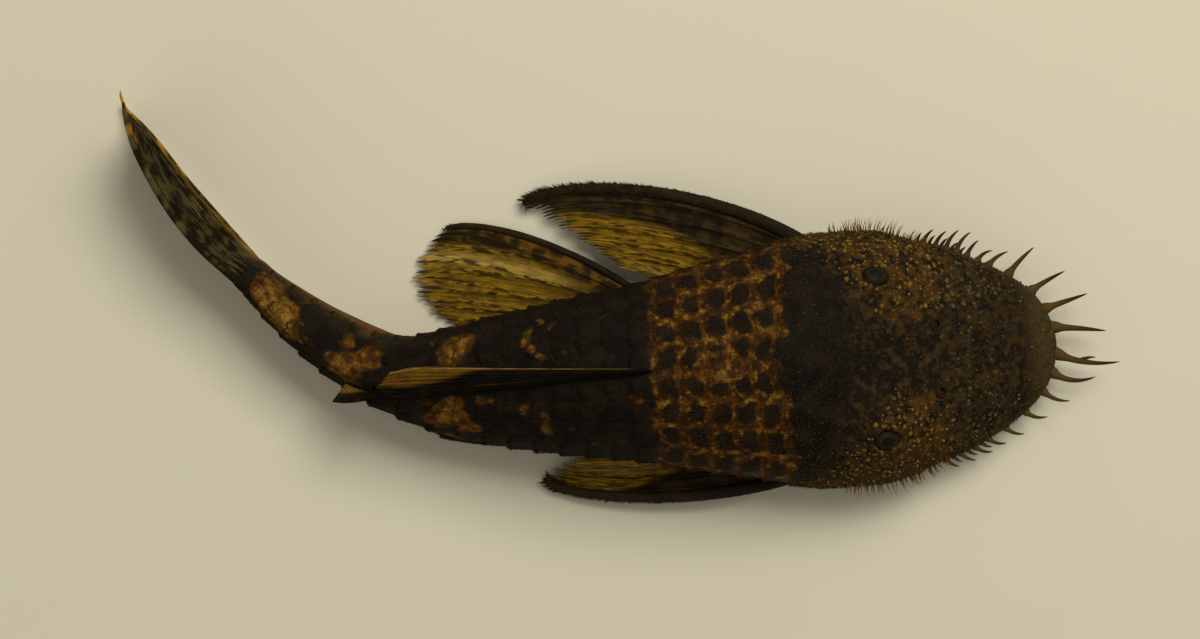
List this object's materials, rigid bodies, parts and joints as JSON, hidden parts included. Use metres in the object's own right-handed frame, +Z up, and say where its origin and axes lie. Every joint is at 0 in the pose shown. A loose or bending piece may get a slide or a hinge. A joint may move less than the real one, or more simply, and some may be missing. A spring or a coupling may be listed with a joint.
{
  "type": "bristlenose pleco",
  "caption": "Life-size bristlenose catfish resting on its belly, tail swept to its left, with snout bristles, ridged plates and spread fins.",
  "frame": {"origin": "on the floor, at the middle of the flat that the belly rests on", "axes": "+X towards the snout, +Y to the fish's left, +Z up"},
  "size_m": [0.111, 0.0455, 0.0186],
  "materials": {
    "skin": "damp satin",
    "head_skin": "damp satin",
    "lip": "damp satin",
    "fin": "thin and damp",
    "eye": "wet gloss"
  },
  "bodies": {
    "root": {"head": "head_skin", "lips": "lip", "eye_left": "eye", "eye_right": "eye", "torso": "skin", "tail": "skin", "tail_stalk": "skin", "pectoral_fin_left": "fin", "pectoral_fin_right": "fin", "pelvic_fin_left": "fin", "pelvic_fin_right": "fin", "dorsal_fin": "fin", "adipose_fin": "fin", "anal_fin": "fin", "tail_fin": "fin"}
  },
  "joints": []
}
